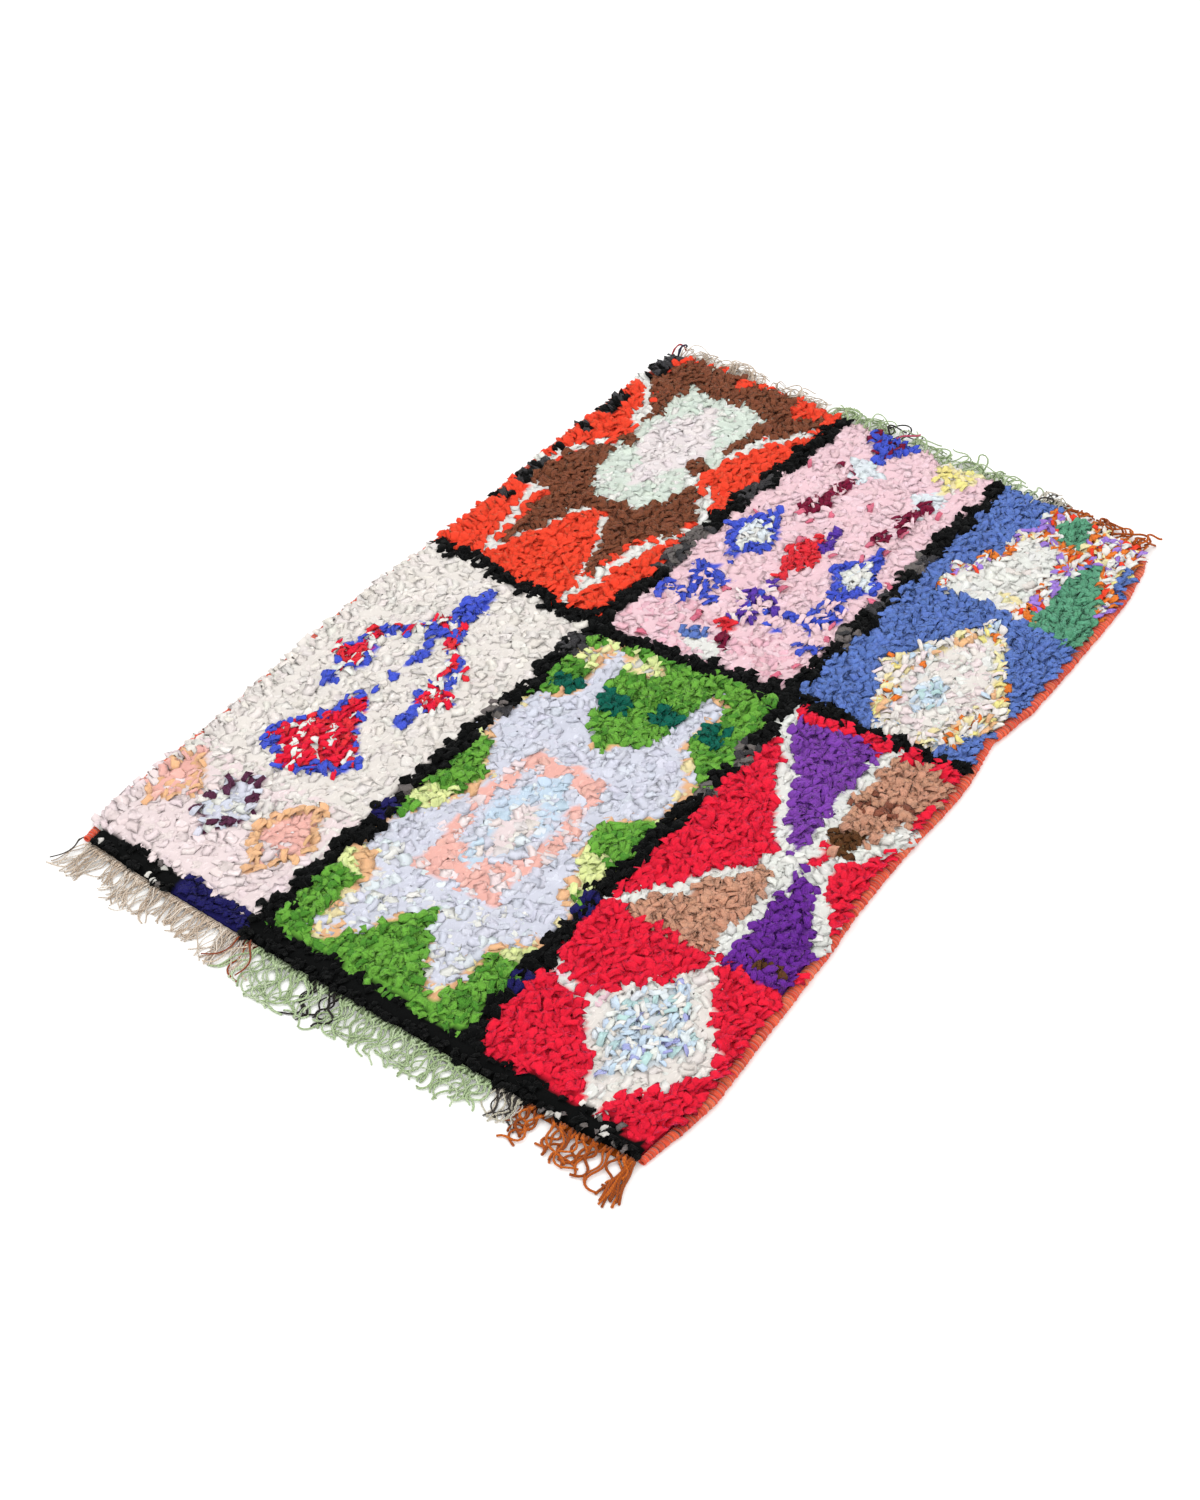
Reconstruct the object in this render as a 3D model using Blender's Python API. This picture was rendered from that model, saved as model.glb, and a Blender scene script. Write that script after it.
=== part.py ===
# Boucherouite rug, a hand-knotted rag rug that lies flat on a floor.
# It is one cloth with a shaggy pile, an overcast edge along each long side, and a narrow
# flat-woven end with a warp fringe at each short side.
# Metres, Z up. X runs across the rug and Y along it. The underside is at z = 0, and the origin
# is the base centre of the whole rug, fringes included.

import math
import random
from collections import namedtuple

import bmesh
import bpy
import numpy as np
from mathutils import Vector, noise

RUG_NAME = "boucherouite_rug"

# The cloth, from its near end to its far end, without the fringes
CLOTH_LENGTH = 1.573
NEAR_END_Y = -CLOTH_LENGTH / 2
FAR_END_Y = CLOTH_LENGTH / 2

# The shaggy slab: cells of its top, height of its lumps, and the two bands of its side wall
CELLS_ACROSS = 33
CELLS_ALONG = 46
PILE_HEIGHT = 0.0215
RIM_HEIGHT = 0.0175
SHOULDER_WIDTH = 0.045
LOCK_FOOT_HEIGHT = 0.0135
RIM_LUMP_SHARE = 0.3

# The unevenness of the pile: the size across and the depth of its tufts, lumps and long swells
Unevenness = namedtuple("Unevenness", "size depth layer")
PILE_UNEVENNESS = (
    Unevenness(0.017, 0.0060, 3.7),
    Unevenness(0.048, 0.0058, 0.3),
    Unevenness(0.210, 0.0018, 7.1),
)

# The locks of rag that stand out at the rim, longest at the far end, where the pile leans out
RANDOM_SEED = 31
LOCK_TAPER = 0.52
LOCK_LEAN_Y = 0.006
LOCK_DROOP = 0.0015
LockLengths = namedtuple("LockLengths", "shortest longest")
LOCKS = {
    "near": LockLengths(0.003, 0.008),
    "far": LockLengths(0.012, 0.021),
    "left": LockLengths(0.009, 0.019),
    "right": LockLengths(0.003, 0.009),
}

# The overcast edges: a rope of yarn wraps round the edge cords
SELVEDGE_WIDTH = 0.021
SELVEDGE_HEIGHT = 0.0115
SELVEDGE_TOP_INNER = 0.16
SELVEDGE_TOP_OUTER = 0.82
SELVEDGE_END_SHARE = 0.6
SELVEDGE_END_LENGTH = 0.12
WRAP_PITCH = 0.0215
WRAP_DEPTH = 0.0016
WRAP_SLANT = 0.006

# The flat-woven ends and their warp fringes
STRANDS_PER_CELL = 3
STRIP_WIDTH = 0.012
STRIP_HEIGHT = 0.0040
STRAND_HEIGHT = 0.0034
STRAND_SECTIONS = 3
STRAND_TIP_SHARE = 0.55
STRAND_CURL = math.radians(120)
FRINGE_SWAY = 0.0029
FRINGE_LENGTH = {"near": 0.064, "far": 0.062}
FRINGE_SHORTEST_SHARE = 0.72

# A strip's outer wall is the faces that look outwards, and its flat faces meet within this angle
WALL_FACING = 0.7
FLAT_ANGLE = math.radians(0.02)

# Neighbouring pieces stay this far apart
GAP = 0.0003

# The outer edges of the bound long sides: along runs from 0 at the near end to 1 at the far end
Side = namedtuple("Side", "along left_x right_x")
SIDES = (
    Side(0.00, -0.5000, 0.5040),
    Side(0.05, -0.5060, 0.5135),
    Side(0.09, -0.5070, 0.5185),
    Side(0.20, -0.5075, 0.5125),
    Side(0.28, -0.5110, 0.5085),
    Side(0.36, -0.5160, 0.5000),
    Side(0.42, -0.5185, 0.4990),
    Side(0.55, -0.5100, 0.5055),
    Side(0.59, -0.5085, 0.5010),
    Side(0.625, -0.5080, 0.4905),
    Side(0.665, -0.5090, 0.5005),
    Side(0.70, -0.5105, 0.5085),
    Side(0.78, -0.5110, 0.5115),
    Side(0.90, -0.5070, 0.5115),
    Side(0.97, -0.5050, 0.5060),
    Side(1.00, -0.5000, 0.4950),
)

# How far each end of the cloth departs from square: across runs from 0 at the left to 1
End = namedtuple("End", "across near_y far_y")
ENDS = (
    End(0.00, 0.0060, -0.0060),
    End(0.12, 0.0005, 0.0000),
    End(0.40, -0.0015, 0.0020),
    End(0.65, 0.0010, 0.0005),
    End(0.90, 0.0015, -0.0020),
    End(1.00, 0.0090, -0.0110),
)

# name: (red, green, blue), roughness
FINISHES = {
    "rag pile": ((0.62, 0.36, 0.36), 0.9),
    "overcast yarn": ((0.64, 0.08, 0.03), 0.85),
    "warp ends": ((0.45, 0.42, 0.30), 0.9),
}


def ease(share):
    return (1 - math.cos(math.pi * share)) / 2


def read_table(table, position, column):
    # The table's value at a position, eased between its rows
    for low, high in zip(table, table[1:]):
        if position <= high[0]:
            share = ease((position - low[0]) / (high[0] - low[0]))
            return getattr(low, column) * (1 - share) + getattr(high, column) * share
    return getattr(table[-1], column)


def cloth_point(across, along):
    # A point of the slab's plan, from shares of its width and length
    left = read_table(SIDES, along, "left_x") + SELVEDGE_WIDTH + GAP
    right = read_table(SIDES, along, "right_x") - SELVEDGE_WIDTH - GAP
    near = NEAR_END_Y + read_table(ENDS, across, "near_y")
    far = FAR_END_Y + read_table(ENDS, across, "far_y")
    return left + (right - left) * across, near + (far - near) * along


def pile_top(x, y, rim_distance):
    rise = ease(min(rim_distance / SHOULDER_WIDTH, 1))
    unevenness = sum(
        row.depth * noise.noise(Vector((x / row.size, y / row.size, row.layer)))
        for row in PILE_UNEVENNESS
    )
    unevenness *= RIM_LUMP_SHARE + (1 - RIM_LUMP_SHARE) * rise
    return RIM_HEIGHT + (PILE_HEIGHT - RIM_HEIGHT) * rise + unevenness


def side_of(normal):
    if abs(normal.x) > abs(normal.y):
        return "right" if normal.x > 0 else "left"
    return "far" if normal.y > 0 else "near"


def new_material(name):
    (red, green, blue), roughness = FINISHES[name]
    material = bpy.data.materials.new(name)
    material.use_nodes = True
    shader = material.node_tree.nodes["Principled BSDF"]
    shader.inputs["Base Color"].default_value = (red, green, blue, 1)
    shader.inputs["Roughness"].default_value = roughness
    shader.inputs["Metallic"].default_value = 0
    material.diffuse_color = (red, green, blue, 1)
    return material


def new_object(name, mesh_builder, collection, material):
    bmesh.ops.recalc_face_normals(mesh_builder, faces=mesh_builder.faces)
    mesh = bpy.data.meshes.new(name)
    mesh_builder.to_mesh(mesh)
    mesh_builder.free()
    mesh.materials.append(material)
    made = bpy.data.objects.new(name, mesh)
    collection.objects.link(made)
    return made


def drop_rim(slab, height):
    # Extrudes the open edge of the slab and sets the new ring to a height
    rim = [edge for edge in slab.edges if edge.is_boundary]
    made = bmesh.ops.extrude_edge_only(slab, edges=rim)["geom"]
    for vertex in (item for item in made if isinstance(item, bmesh.types.BMVert)):
        vertex.co.z = height
    return [item for item in made if isinstance(item, bmesh.types.BMFace)]


def bearing(face):
    middle = face.calc_center_median()
    return math.atan2(middle.x, middle.y)


def raise_locks(slab, faces):
    # Draws each face of the upper side band out into a tapered lock
    chance = random.Random(RANDOM_SEED)
    for face in sorted(faces, key=bearing):
        outward = face.normal.copy()
        side = side_of(outward)
        reach = chance.uniform(*LOCKS[side])
        lean = LOCK_LEAN_Y * chance.random() if side in ("left", "right") else 0
        droop = LOCK_DROOP * chance.random()
        tip = bmesh.ops.extrude_discrete_faces(slab, faces=[face])["faces"][0]
        middle = tip.calc_center_median()
        for vertex in tip.verts:
            offset = (vertex.co - middle) * LOCK_TAPER
            vertex.co = middle + offset + outward * reach + Vector((0, lean, -droop))


def build_slab(collection):
    slab = bmesh.new()
    bmesh.ops.create_grid(slab, x_segments=CELLS_ACROSS, y_segments=CELLS_ALONG, size=0.5)
    for vertex in slab.verts:
        across = vertex.co.x + 0.5
        along = vertex.co.y + 0.5
        x, y = cloth_point(across, along)
        rim_distance = min(
            x - cloth_point(0, along)[0],
            cloth_point(1, along)[0] - x,
            min(along, 1 - along) * CLOTH_LENGTH,
        )
        vertex.co = (x, y, pile_top(x, y, rim_distance))
    band = drop_rim(slab, LOCK_FOOT_HEIGHT)
    drop_rim(slab, 0)
    bmesh.ops.holes_fill(slab, edges=[edge for edge in slab.edges if edge.is_boundary])
    bmesh.ops.recalc_face_normals(slab, faces=slab.faces)
    raise_locks(slab, band)
    return new_object("rug_body", slab, collection, new_material("rag pile"))


def edge_of_cloth(side):
    # The slab's lower edge on one side, as the straight runs that the slab itself has
    if side in ("left", "right"):
        across = 0 if side == "left" else 1
        return [cloth_point(across, row / CELLS_ALONG) for row in range(CELLS_ALONG + 1)]
    along = 0 if side == "near" else 1
    return [cloth_point(column / CELLS_ACROSS, along) for column in range(CELLS_ACROSS + 1)]


def extrude_tip(mesh_builder, face, corners):
    # Extrudes a face and sets the new corners, which keep the order of the old ones
    tip = bmesh.ops.extrude_discrete_faces(mesh_builder, faces=[face])["faces"][0]
    for vertex, corner in zip(tip.verts, corners):
        vertex.co = corner
    return tip


def selvedge_section(edge_xs, edge_ys, outward, share, is_crest):
    # The four corners of the rope's section, from its inner foot round to its inner shoulder
    y = edge_ys[0] + (edge_ys[-1] - edge_ys[0]) * share
    end_distance = CLOTH_LENGTH * min(share, 1 - share)
    fullness = min(1, end_distance / SELVEDGE_END_LENGTH)
    girth = SELVEDGE_END_SHARE + (1 - SELVEDGE_END_SHARE) * fullness
    puff = WRAP_DEPTH if is_crest else 0
    width = (SELVEDGE_WIDTH - WRAP_DEPTH) * girth + puff
    height = (SELVEDGE_HEIGHT - WRAP_DEPTH) * girth + puff
    top_y = y + WRAP_SLANT * fullness
    foot_x = np.interp(y, edge_ys, edge_xs) + outward * GAP
    top_x = np.interp(top_y, edge_ys, edge_xs) + outward * GAP
    return (
        Vector((foot_x, y, 0)),
        Vector((foot_x + outward * width, y, 0)),
        Vector((top_x + outward * width * SELVEDGE_TOP_OUTER, top_y, height)),
        Vector((top_x + outward * width * SELVEDGE_TOP_INNER, top_y, height)),
    )


def build_selvedge(side, collection, material):
    # A rope along the slab's edge, extruded wrap by wrap: a trough and a crest for each wrap
    edge_xs, edge_ys = zip(*edge_of_cloth(side))
    outward = -1 if side == "left" else 1
    sections = 2 * round((edge_ys[-1] - edge_ys[0]) / WRAP_PITCH)
    rope = bmesh.new()
    first = selvedge_section(edge_xs, edge_ys, outward, 0, False)
    face = rope.faces.new([rope.verts.new(corner) for corner in first])
    cap = face.copy()
    cap.normal_flip()
    for section in range(1, sections + 1):
        corners = selvedge_section(
            edge_xs, edge_ys, outward, section / sections, section % 2 == 1
        )
        face = extrude_tip(rope, face, corners)
    bmesh.ops.remove_doubles(rope, verts=rope.verts, dist=0.00001)
    return new_object("selvedge_" + side, rope, collection, material)


def merge_flat_faces(strip, outward):
    # Leaves the strip's top, underside and inner wall as large faces
    behind = [
        edge
        for edge in strip.edges
        if all(face.normal.y * outward < WALL_FACING for face in edge.link_faces)
    ]
    bmesh.ops.dissolve_limit(strip, angle_limit=FLAT_ANGLE, edges=behind, verts=[])


def draw_strand(strip, face, length, sway, outward):
    # Extrudes one cell of the strip's outer wall into a strand that lies level on the floor
    root = face.calc_center_median()
    half_width = max(abs(vertex.co.x - root.x) for vertex in face.verts)
    for section in range(1, STRAND_SECTIONS + 1):
        along = section / STRAND_SECTIONS
        slim = 1 - (1 - STRAND_TIP_SHARE) * along
        middle_x = face.calc_center_median().x
        new_middle_x = root.x + sway * math.sin(STRAND_CURL * along)
        y = root.y + outward * length * along
        corners = []
        for vertex in face.verts:
            x = new_middle_x + math.copysign(half_width * slim, vertex.co.x - middle_x)
            corners.append(Vector((x, y, STRAND_HEIGHT * slim if vertex.co.z > GAP else 0)))
        face = extrude_tip(strip, face, corners)


def build_fringe(end, collection, material):
    edge_xs, edge_ys = zip(*edge_of_cloth(end))
    outward = -1 if end == "near" else 1
    cells = 2 * STRANDS_PER_CELL * CELLS_ACROSS
    strip = bmesh.new()
    bmesh.ops.create_grid(strip, x_segments=cells, y_segments=1, size=0.5)
    for vertex in strip.verts:
        x = edge_xs[0] + (edge_xs[-1] - edge_xs[0]) * (vertex.co.x + 0.5)
        out = GAP + STRIP_WIDTH * (vertex.co.y + 0.5)
        vertex.co = (x, np.interp(x, edge_xs, edge_ys) + outward * out, 0)
    top = bmesh.ops.extrude_face_region(strip, geom=strip.faces[:])["geom"]
    for vertex in (item for item in top if isinstance(item, bmesh.types.BMVert)):
        vertex.co.z = STRIP_HEIGHT
    bmesh.ops.recalc_face_normals(strip, faces=strip.faces)
    merge_flat_faces(strip, outward)
    wall = [face for face in strip.faces if face.normal.y * outward > WALL_FACING]
    wall.sort(key=lambda face: face.calc_center_median().x)
    chance = random.Random(end)
    for face in wall[::2]:
        length = FRINGE_LENGTH[end] * chance.uniform(FRINGE_SHORTEST_SHARE, 1)
        sway = FRINGE_SWAY * chance.uniform(-1, 1)
        draw_strand(strip, face, length, sway, outward)
    return new_object("fringe_" + end, strip, collection, material)


def centre_on_base(parts):
    # Moves all the parts together, so that the origin is the base centre of their box
    points = [part.matrix_world @ vertex.co for part in parts for vertex in part.data.vertices]
    middle_x = (min(p.x for p in points) + max(p.x for p in points)) / 2
    middle_y = (min(p.y for p in points) + max(p.y for p in points)) / 2
    for part in parts:
        part.location = (-middle_x, -middle_y, 0)


def main():
    for leftover in list(bpy.data.objects):
        bpy.data.objects.remove(leftover, do_unlink=True)
    collection = bpy.data.collections.new(RUG_NAME)
    bpy.context.scene.collection.children.link(collection)
    yarn = new_material("overcast yarn")
    warp = new_material("warp ends")
    parts = [build_slab(collection)]
    parts += [build_selvedge(side, collection, yarn) for side in ("left", "right")]
    parts += [build_fringe(end, collection, warp) for end in ("near", "far")]
    centre_on_base(parts)


main()
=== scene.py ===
# Boucherouite rug, laid flat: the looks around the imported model.
# Metres throughout, except in the pattern, which is drawn in millimetres of rug.

import math
import random

import bpy
import numpy as np
from mathutils import Euler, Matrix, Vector


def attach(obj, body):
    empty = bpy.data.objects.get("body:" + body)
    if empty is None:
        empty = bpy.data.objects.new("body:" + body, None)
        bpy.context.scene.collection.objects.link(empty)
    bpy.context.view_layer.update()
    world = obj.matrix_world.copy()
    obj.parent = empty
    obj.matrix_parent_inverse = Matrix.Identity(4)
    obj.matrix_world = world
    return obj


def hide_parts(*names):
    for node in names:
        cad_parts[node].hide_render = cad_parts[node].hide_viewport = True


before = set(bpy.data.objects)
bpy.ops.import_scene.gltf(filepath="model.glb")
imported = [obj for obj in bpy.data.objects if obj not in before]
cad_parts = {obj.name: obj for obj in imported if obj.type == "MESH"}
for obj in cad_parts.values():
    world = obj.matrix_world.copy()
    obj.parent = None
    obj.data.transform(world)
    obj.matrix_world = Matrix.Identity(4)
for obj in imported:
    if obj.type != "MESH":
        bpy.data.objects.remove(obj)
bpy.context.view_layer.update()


# Small helpers

def linearColour(hexText):
    # sRGB hex to the linear numbers that the shaders take
    parts = [int(hexText[i:i + 2], 16) / 255 for i in (1, 3, 5)]
    return [p / 12.92 if p <= 0.04045 else ((p + 0.055) / 1.055) ** 2.4 for p in parts]


def addNode(tree, kind, settings=None, links=None):
    # One node, its settings (attributes or socket values) and what feeds its sockets: a socket, or a
    # node for its first output in use
    node = tree.nodes.new("ShaderNode" + kind)
    for key, value in (settings or {}).items():
        if isinstance(key, int) or key in node.inputs:
            node.inputs[key].default_value = value
        else:
            setattr(node, key, value)
    for socket, source in (links or {}).items():
        if isinstance(source, bpy.types.Node):
            source = next(output for output in source.outputs if output.enabled)
        tree.links.new(source, node.inputs[socket])
    return node


def newMaterial(name):
    material = bpy.data.materials.new(name)
    material.use_nodes = True
    tree = material.node_tree
    tree.nodes.clear()
    return material, tree


def finishMaterial(tree, settings, links=None):
    shader = addNode(tree, "BsdfPrincipled", settings, links)
    addNode(tree, "OutputMaterial", links={"Surface": shader})


def finishDyedAndShaded(tree, make, shade, normal, more=None):
    # The dye of each point, with any shade painted into it, times a tone with painted shade, over the
    # matt finish that all the rags and yarns have
    dyeAndPaintedShade = addNode(tree, "Attribute", {"attribute_name": "dyeAndPaintedShade"}).outputs["Color"]
    colour = addNode(tree, "Mix", {"data_type": "RGBA", "blend_type": "MULTIPLY", "Factor": 1.0},
                     {"A": dyeAndPaintedShade, "B": shade})
    finishMaterial(tree, {"Roughness": make["roughness"], "Sheen Weight": make["sheen"],
                          "Sheen Roughness": 0.5, "Specular IOR Level": make["shine"], **(more or {})},
                   {"Base Color": colour, "Normal": normal})


def startEdit():
    bpy.ops.object.mode_set(mode="EDIT")
    bpy.ops.mesh.select_all(action="SELECT")


def meshPoints(mesh):
    points = np.zeros(len(mesh.vertices) * 3)
    mesh.vertices.foreach_get("co", points)
    return points.reshape(-1, 3)


def meshLoops(mesh):
    loops = np.zeros(len(mesh.loops), np.int32)
    mesh.loops.foreach_get("vertex_index", loops)
    return loops


def meshArrays(thing):
    # Points, loops and loop starts of a modelled piece, then the piece itself goes
    mesh = thing.data
    starts = np.zeros(len(mesh.polygons), np.int32)
    mesh.polygons.foreach_get("loop_start", starts)
    arrays = meshPoints(mesh), meshLoops(mesh), starts
    bpy.data.objects.remove(thing)
    return arrays


def writeSurface(mesh, colours, along, crisp):
    # What the materials read at each point: its dye with any painted shade, its crispness, and its place
    # along the strip or cloth in mm, as a UV map
    dyeAndPaintedShade = mesh.color_attributes.new("dyeAndPaintedShade", "FLOAT_COLOR", "POINT")
    dyeAndPaintedShade.data.foreach_set("color", np.column_stack([colours, np.ones(len(colours))]).ravel())
    mesh.uv_layers.new(name="along").data.foreach_set("uv", along[meshLoops(mesh)].ravel())
    mesh.attributes.new("crisp", "FLOAT", "POINT").data.foreach_set("value", crisp)


def copiesOf(shape, points, colours, **more):
    # A part for joinedPiece: the faces of a modelled shape on each copy's own points
    loops, starts = shape[1:]
    count, pointsEach = points.shape[:2]
    number = np.arange(count)[:, None]
    return dict(points=points.reshape(-1, 3), loops=(loops + pointsEach * number).ravel(),
                starts=(starts + len(loops) * number).ravel(), colours=colours, **more)


def joinedPiece(name, parts, material, smooth=True):
    # One object from many parts
    points, loops, starts, colours, along, crisp = [], [], [], [], [], []
    pointCount = loopCount = 0
    for part in parts:
        count = len(part["points"])
        points.append(part["points"])
        loops.append(part["loops"] + pointCount)
        starts.append(part["starts"] + loopCount)
        colours.append(part["colours"])
        along.append(part.get("along", np.zeros((count, 2))))
        crisp.append(part.get("crisp", np.ones(count)))
        pointCount += count
        loopCount += len(part["loops"])
    points, loops, starts = (np.concatenate(x) for x in (points, loops, starts))
    mesh = bpy.data.meshes.new(name)
    mesh.vertices.add(len(points))
    mesh.vertices.foreach_set("co", points.ravel())
    mesh.loops.add(len(loops))
    mesh.loops.foreach_set("vertex_index", loops)
    mesh.polygons.add(len(starts))
    mesh.polygons.foreach_set("loop_start", starts)
    mesh.update(calc_edges=True)
    writeSurface(mesh, *(np.concatenate(x) for x in (colours, along, crisp)))
    if smooth:
        mesh.shade_smooth()
    mesh.materials.append(material)
    thing = bpy.data.objects.new(name, mesh)
    bpy.context.scene.collection.objects.link(thing)
    return thing


# Camera, as the photo was taken

camera = dict(
    place=(1.37735, -2.31249, 2.42079),
    turnDegrees=(46.390, -2.132, 34.677),
    lens=54.78, sensor=36,
)


def makeCamera():
    data = bpy.data.cameras.new("photoCamera")
    data.lens = camera["lens"]
    data.sensor_width = camera["sensor"]
    eye = bpy.data.objects.new("photoCamera", data)
    eye.location = camera["place"]
    eye.rotation_euler = Euler([math.radians(a) for a in camera["turnDegrees"]])
    bpy.context.scene.collection.objects.link(eye)
    bpy.context.scene.camera = eye


makeCamera()
print("camera placed")


# The plan of the cloth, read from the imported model

planRead = dict(footHeight=0.0005, sideBeyond=0.46, endBeyond=0.765)


def edgeCurve(points, axis):
    # An edge's points in order, each place once, as (places along it, places across it)
    places, first = np.unique(points[:, axis].round(4), return_index=True)
    return places, points[first, 1 - axis]


def readPlan():
    # The slab's foot as four edge curves: left and right along Y, near and far along X
    points = meshPoints(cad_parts["rug_body"].data)
    x, y, z = points.T
    foot = z < planRead["footHeight"]
    side, end = planRead["sideBeyond"], planRead["endBeyond"]
    return dict(
        left=edgeCurve(points[foot & (x < -side)], 1), right=edgeCurve(points[foot & (x > side)], 1),
        near=edgeCurve(points[foot & (y < -end)], 0), far=edgeCurve(points[foot & (y > end)], 0),
    )


plan = readPlan()


def edge(name, place):
    return np.interp(place, *plan[name])


def clothPoint(across, along):
    # A point of the cloth from shares of its width and length, 0 to 1
    low, high = edge("near", 0), edge("far", 0)
    left, right = (edge(name, low + (high - low) * along) for name in ("left", "right"))
    x = left + (right - left) * across
    near, far = edge("near", x), edge("far", x)
    return x, near + (far - near) * along


# Rag colours, as the cloth shows them in daylight

rags = dict(
    redOrange="#FF422A", crimson="#E61E38", pink="#EDC6CE", cream="#E4DDD6",
    paleMint="#D0DBCF", shellPink="#E4DADA", brown="#7C4832", white="#E4E4DE",
    royalBlue="#4557CE", paleBlue="#C3D6E8", maroon="#7A1836", red="#E8303A",
    yellow="#F2E08A", butter="#F0DFA8", violet="#5B3AA6", lilac="#9A78D2",
    denimBlue="#5E7AC2", orange="#F27A30", leafGreen="#6AA83E", darkLeaf="#4E8C30",
    fernGreen="#5C9E7C", lavender="#D0D2E0", salmon="#EDB1A6", peach="#E6B286",
    lime="#DDE89C", teal="#10604F", purple="#7C40A8", deepPurple="#6A2C98",
    tan="#C89278", darkTan="#8A5240", bark="#5C3A20", black="#070808",
    charcoal="#3C3B3D", grey="#6A6462", navy="#1E1C58", plum="#552A42",
    blush="#E8D6D6", ash="#CFCBC4", aqua="#B4D2D2",
    periwinkle="#A9AEE4", rose="#E9B4C0", rosyRed="#DC6E86", iceBlue="#DCE4EA",
)
ragNames = list(rags)
ragColours = np.array([linearColour(rags[name]) for name in ragNames])
brightestDye = 0.96


# The pattern: plain figures laid one over another, in millimetres of rug

def layRags(cloth, where, *names, fine=False):
    # Several names are mixed tuft by tuft, and fine ones are of narrower strips
    where = where & cloth["mine"]
    choice = np.minimum((cloth["chance"] * len(names)).astype(int), len(names) - 1)
    ids = np.array([ragNames.index(name) for name in names])
    cloth["rag"] = np.where(where, ids[choice], cloth["rag"])
    cloth["fine"] = np.where(where, fine, cloth["fine"])


def layEach(cloth, shape, places, *names, fine=False):
    # The same rags in several figures of one shape
    for place in places:
        layRags(cloth, shape(cloth, *place), *names, fine=fine)


def between(places, low, high):
    return (places > low) & (places < high)


def block(cloth, left, right, low, high):
    return between(cloth["x"], left, right) & between(cloth["y"], low, high)


def patch(cloth, x, y, halfWide, halfHigh):
    return block(cloth, x - halfWide, x + halfWide, y - halfHigh, y + halfHigh)


def lozenge(cloth, x, y, halfWide, halfHigh):
    return abs(cloth["x"] - x) / halfWide + abs(cloth["y"] - y) / halfHigh < 1


def figure(cloth, *corners):
    # Inside a figure with straight sides, by counting the sides to its left
    inside = np.zeros(len(cloth["x"]), bool)
    for (x0, y0), (x1, y1) in zip(corners, corners[1:] + corners[:1]):
        if y0 == y1:
            continue
        crosses = (cloth["y"] > min(y0, y1)) & (cloth["y"] <= max(y0, y1))
        sideX = x0 + (cloth["y"] - y0) * (x1 - x0) / (y1 - y0)
        inside ^= crosses & (cloth["x"] > sideX)
    return inside


def band(cloth, width, *corners):
    # Within half a width of a line through the corners
    near = np.full(len(cloth["x"]), np.inf)
    for (x0, y0), (x1, y1) in zip(corners, corners[1:]):
        runX, runY = x1 - x0, y1 - y0
        share = ((cloth["x"] - x0) * runX + (cloth["y"] - y0) * runY) / (runX ** 2 + runY ** 2)
        share = np.clip(share, 0, 1)
        near = np.minimum(near, np.hypot(cloth["x"] - x0 - share * runX, cloth["y"] - y0 - share * runY))
    return near < width / 2


def mirrored(corners, middle):
    # The same figure on both sides of a middle line, from offsets to its right
    right = [(middle + x, y) for x, y in corners]
    left = [(middle - x, y) for x, y in corners]
    return right, left


def grown(corners, grow, still):
    # The same figure made bigger, from a place that stays still
    stillX, stillY = still
    return [(stillX + (x - stillX) * grow, stillY + (y - stillY) * grow) for x, y in corners]


def inner(place, shares):
    # A smaller lozenge inside another
    x, y, wide, high = place
    return x, y, wide * shares[0], high * shares[1]


# The black lines that part the compartments
dividers = dict(
    leftLine=[(-121, 800), (-131, 657), (-146, 507), (-155, 347), (-151, 207), (-160, 107),
              (-156, 7), (-158, -93), (-166, -243), (-166, -493), (-171, -643), (-171, -760)],
    rightLine=[(203, 800), (196, 687), (189, 577), (189, 357), (184, 257), (179, 157),
               (184, 87), (197, 27), (199, -93), (189, -293), (184, -393), (189, -623), (189, -760)],
    crossLine=[(-500, 74), (-330, 64), (-156, 52), (-20, 62), (74, 82), (184, 93), (360, 103), (500, 112)],
    lineWidth=25, crossWidth=22,
    # Stretches of other rags, low and high along Y
    leftRuns=[(-38, 20, "charcoal"), (-222, -200, "grey"), (-450, -420, "grey"), (-496, -466, "navy"),
              (232, 386, "grey"), (468, 566, "charcoal")],
    rightRuns=[(-90, -38, "grey"), (-180, -144, "grey"), (-490, -446, "navy"), (-644, -614, "navy"),
               (250, 300, "grey"), (346, 422, "charcoal"), (486, 546, "grey")],
    # The border along the near end, with its navy stretch and its flecks, left and right along X
    nearBorder=-748, navyRun=(-316, -186),
    flecks=[(-510, -458), (-372, -322), (338, 378), (398, 470)], fleckAbove=0.5,
)


def compartments(cloth):
    # Which compartment each tuft is in: 0 to 2 from the left, +3 below the cross line
    leftX = np.interp(cloth["y"], *zip(*[(y, x) for x, y in reversed(dividers["leftLine"])]))
    rightX = np.interp(cloth["y"], *zip(*[(y, x) for x, y in reversed(dividers["rightLine"])]))
    crossY = np.interp(cloth["x"], *zip(*dividers["crossLine"]))
    column = (cloth["x"] > leftX).astype(int) + (cloth["x"] > rightX)
    return column + 3 * (cloth["y"] < crossY)


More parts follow.
